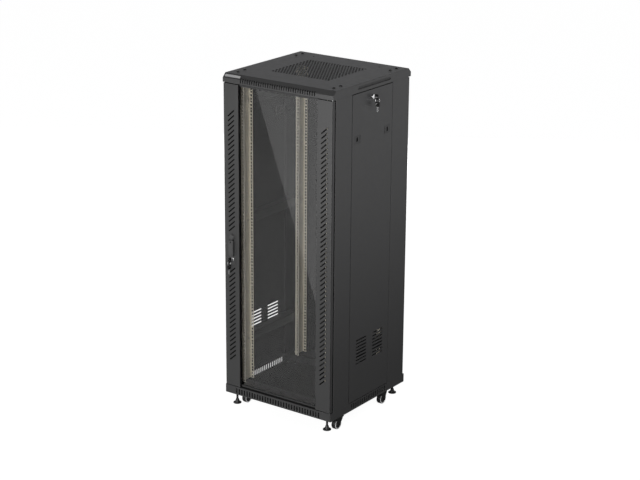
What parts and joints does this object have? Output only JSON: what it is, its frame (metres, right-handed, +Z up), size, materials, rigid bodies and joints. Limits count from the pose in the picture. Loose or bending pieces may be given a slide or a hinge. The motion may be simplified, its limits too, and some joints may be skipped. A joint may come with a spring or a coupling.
{
  "type": "network server rack cabinet",
  "caption": "Free-standing 19-inch network rack cabinet with a glass front door, swing handle, removable side panels, perforated roof, casters and levelling feet.",
  "frame": {"origin": "on the floor under the middle of the 600 x 600 mm footprint", "axes": "+X to the right seen from the front, the front door faces -Y, +Z up"},
  "size_m": [0.6405, 0.64, 1.6],
  "materials": {
    "powder_coat": "satin black powder coat, fine texture",
    "galvanised_steel": "galvanised, faint spangle",
    "zinc_plate": "bright zinc plate",
    "black_fasteners": "black oxide",
    "caster_steel": "gloss black",
    "nameplate_aluminium": "pale satin, blank",
    "tinted_glass": "tinted toughened glass",
    "rubber_seal": "matt",
    "black_plastic": "fine grain",
    "chrome": "polished",
    "key_plastic": "moulded bow, steel blade and ring",
    "wheel_plastic": "black tread, pale ring",
    "foot_plastic": "moulded foot on a dark stud"
  },
  "bodies": {
    "frame": {"top_cover": "powder_coat", "roof_channels": "powder_coat", "base_pan": "powder_coat", "base_channels": "powder_coat", "front_left_post": "powder_coat", "front_right_post": "powder_coat", "rear_left_post": "powder_coat", "rear_right_post": "powder_coat", "front_left_rail": "galvanised_steel", "front_right_rail": "galvanised_steel", "rear_left_rail": "galvanised_steel", "rear_right_rail": "galvanised_steel", "side_braces": "galvanised_steel", "frame_fasteners": "black_fasteners", "nameplate": "nameplate_aluminium", "hinge_pins": "zinc_plate", "caster_plates": "caster_steel", "underside_fasteners": "zinc_plate"},
    "front_door": {"door_hinge_stile": "powder_coat", "door_lock_stile": "powder_coat", "door_cross_channels": "powder_coat", "door_glass": "tinted_glass", "door_glass_tape": "rubber_seal", "door_hinge_plates": "powder_coat", "handle_plate": "black_plastic", "handle_lock_barrel": "chrome"},
    "handle_spindle": {"handle_spindle": "black_plastic"},
    "handle_lever": {"handle_lever": "black_plastic"},
    "handle_lock": {"handle_lock_plug": "chrome", "handle_key": "key_plastic"},
    "handle_spare_key": {"handle_spare_key": "key_plastic"},
    "right_panel": {"right_side_panel": "powder_coat", "right_lock_barrel": "chrome"},
    "right_front_latch": {"right_front_latch": "black_plastic"},
    "right_rear_latch": {"right_rear_latch": "black_plastic"},
    "right_lock": {"right_lock_plug": "chrome", "right_key": "key_plastic"},
    "left_panel": {"left_side_panel": "powder_coat", "left_lock_barrel": "chrome"},
    "left_front_latch": {"left_front_latch": "black_plastic"},
    "left_rear_latch": {"left_rear_latch": "black_plastic"},
    "left_lock": {"left_lock_plug": "chrome"},
    "right_spare_key": {"right_spare_key": "key_plastic"},
    "rear_door": {"rear_door": "powder_coat", "rear_lock_barrel": "chrome"},
    "rear_lock": {"rear_lock_plug": "chrome"},
    "front_left_caster": {"front_left_caster_fork": "caster_steel"},
    "front_left_wheel": {"front_left_wheel": "wheel_plastic"},
    "front_left_brake_pedal": {"front_left_brake_pedal": "black_plastic"},
    "front_left_foot": {"front_left_foot": "foot_plastic"},
    "front_right_caster": {"front_right_caster_fork": "caster_steel"},
    "front_right_wheel": {"front_right_wheel": "wheel_plastic"},
    "front_right_brake_pedal": {"front_right_brake_pedal": "black_plastic"},
    "front_right_foot": {"front_right_foot": "foot_plastic"},
    "rear_left_caster": {"rear_left_caster_fork": "caster_steel"},
    "rear_left_wheel": {"rear_left_wheel": "wheel_plastic"},
    "rear_left_foot": {"rear_left_foot": "foot_plastic"},
    "rear_right_caster": {"rear_right_caster_fork": "caster_steel"},
    "rear_right_wheel": {"rear_right_wheel": "wheel_plastic"},
    "rear_right_foot": {"rear_right_foot": "foot_plastic"}
  },
  "joints": [
    {"name": "front_door_hinge", "type": "hinge", "parent": "frame", "child": "front_door", "pos_m": [0.29, -0.291, 0], "axis": [0, 0, 1], "range_deg": [0, 120]},
    {"name": "handle_swing", "type": "hinge", "parent": "front_door", "child": "handle_spindle", "pos_m": [-0.25, -0.304, 0.847], "axis": [0, -1, 0], "range_deg": [0, 90]},
    {"name": "handle_lift", "type": "hinge", "parent": "handle_spindle", "child": "handle_lever", "pos_m": [-0.25, -0.3116, 0.829], "axis": [-1, 0, 0], "range_deg": [0, 40]},
    {"name": "handle_lock_turn", "type": "hinge", "parent": "front_door", "child": "handle_lock", "pos_m": [-0.25, -0.304, 0.742], "axis": [0, 1, 0], "range_deg": [0, 90]},
    {"name": "handle_spare_key_swing", "type": "hinge", "parent": "handle_lock", "child": "handle_spare_key", "pos_m": [-0.25, -0.328, 0.7396], "axis": [1, 0, 0], "range_deg": [-60, 10]},
    {"name": "right_panel_removal", "type": "slide", "parent": "frame", "child": "right_panel", "axis": [1, 0, 0], "range_m": [0, 0.25]},
    {"name": "right_front_latch_slide", "type": "slide", "parent": "right_panel", "child": "right_front_latch", "axis": [0, 1, 0], "range_m": [0, 0.004], "stiffness_N_per_m": 400, "springref_m": -0.004},
    {"name": "right_rear_latch_slide", "type": "slide", "parent": "right_panel", "child": "right_rear_latch", "axis": [0, -1, 0], "range_m": [0, 0.004], "stiffness_N_per_m": 400, "springref_m": -0.004},
    {"name": "right_lock_turn", "type": "hinge", "parent": "right_panel", "child": "right_lock", "pos_m": [0.3, -0.0014, 1.5205], "axis": [-1, 0, 0], "range_deg": [0, 90]},
    {"name": "left_panel_removal", "type": "slide", "parent": "frame", "child": "left_panel", "axis": [-1, 0, 0], "range_m": [0, 0.25]},
    {"name": "left_front_latch_slide", "type": "slide", "parent": "left_panel", "child": "left_front_latch", "axis": [0, 1, 0], "range_m": [0, 0.004], "stiffness_N_per_m": 400, "springref_m": -0.004},
    {"name": "left_rear_latch_slide", "type": "slide", "parent": "left_panel", "child": "left_rear_latch", "axis": [0, -1, 0], "range_m": [0, 0.004], "stiffness_N_per_m": 400, "springref_m": -0.004},
    {"name": "left_lock_turn", "type": "hinge", "parent": "left_panel", "child": "left_lock", "pos_m": [-0.3, -0.0014, 1.5205], "axis": [1, 0, 0], "range_deg": [0, 90]},
    {"name": "right_spare_key_swing", "type": "hinge", "parent": "right_lock", "child": "right_spare_key", "pos_m": [0.324, -0.0014, 1.5181], "axis": [0, 1, 0], "range_deg": [-60, 10]},
    {"name": "rear_door_hinge", "type": "hinge", "parent": "frame", "child": "rear_door", "pos_m": [-0.29, 0.289, 0], "axis": [0, 0, 1], "range_deg": [0, 110]},
    {"name": "rear_lock_turn", "type": "hinge", "parent": "rear_door", "child": "rear_lock", "pos_m": [0.25, 0.294, 0.838], "axis": [0, -1, 0], "range_deg": [0, 90]},
    {"name": "front_left_swivel", "type": "hinge", "parent": "frame", "child": "front_left_caster", "pos_m": [-0.2574, -0.183, 0.07], "axis": [0, 0, 1], "continuous": true},
    {"name": "front_left_wheel_spin", "type": "hinge", "parent": "front_left_caster", "child": "front_left_wheel", "pos_m": [-0.2574, -0.193, 0.025], "axis": [1, 0, 0], "continuous": true},
    {"name": "front_left_brake_press", "type": "hinge", "parent": "front_left_caster", "child": "front_left_brake_pedal", "pos_m": [-0.2574, -0.1695, 0.053], "axis": [-1, 0, 0], "range_deg": [0, 12]},
    {"name": "front_left_foot_screw", "type": "slide", "parent": "frame", "child": "front_left_foot", "axis": [0, 0, 1], "range_m": [-0.022, 0.01]},
    {"name": "front_right_swivel", "type": "hinge", "parent": "frame", "child": "front_right_caster", "pos_m": [0.2574, -0.183, 0.07], "axis": [0, 0, 1], "continuous": true},
    {"name": "front_right_wheel_spin", "type": "hinge", "parent": "front_right_caster", "child": "front_right_wheel", "pos_m": [0.2574, -0.193, 0.025], "axis": [1, 0, 0], "continuous": true},
    {"name": "front_right_brake_press", "type": "hinge", "parent": "front_right_caster", "child": "front_right_brake_pedal", "pos_m": [0.2574, -0.1695, 0.053], "axis": [-1, 0, 0], "range_deg": [0, 12]},
    {"name": "front_right_foot_screw", "type": "slide", "parent": "frame", "child": "front_right_foot", "axis": [0, 0, 1], "range_m": [-0.022, 0.01]},
    {"name": "rear_left_swivel", "type": "hinge", "parent": "frame", "child": "rear_left_caster", "pos_m": [-0.2574, 0.183, 0.07], "axis": [0, 0, 1], "continuous": true},
    {"name": "rear_left_wheel_spin", "type": "hinge", "parent": "rear_left_caster", "child": "rear_left_wheel", "pos_m": [-0.2574, 0.173, 0.025], "axis": [1, 0, 0], "continuous": true},
    {"name": "rear_left_foot_screw", "type": "slide", "parent": "frame", "child": "rear_left_foot", "axis": [0, 0, 1], "range_m": [-0.022, 0.01]},
    {"name": "rear_right_swivel", "type": "hinge", "parent": "frame", "child": "rear_right_caster", "pos_m": [0.2574, 0.183, 0.07], "axis": [0, 0, 1], "continuous": true},
    {"name": "rear_right_wheel_spin", "type": "hinge", "parent": "rear_right_caster", "child": "rear_right_wheel", "pos_m": [0.2574, 0.173, 0.025], "axis": [1, 0, 0], "continuous": true},
    {"name": "rear_right_foot_screw", "type": "slide", "parent": "frame", "child": "rear_right_foot", "axis": [0, 0, 1], "range_m": [-0.022, 0.01]}
  ]
}
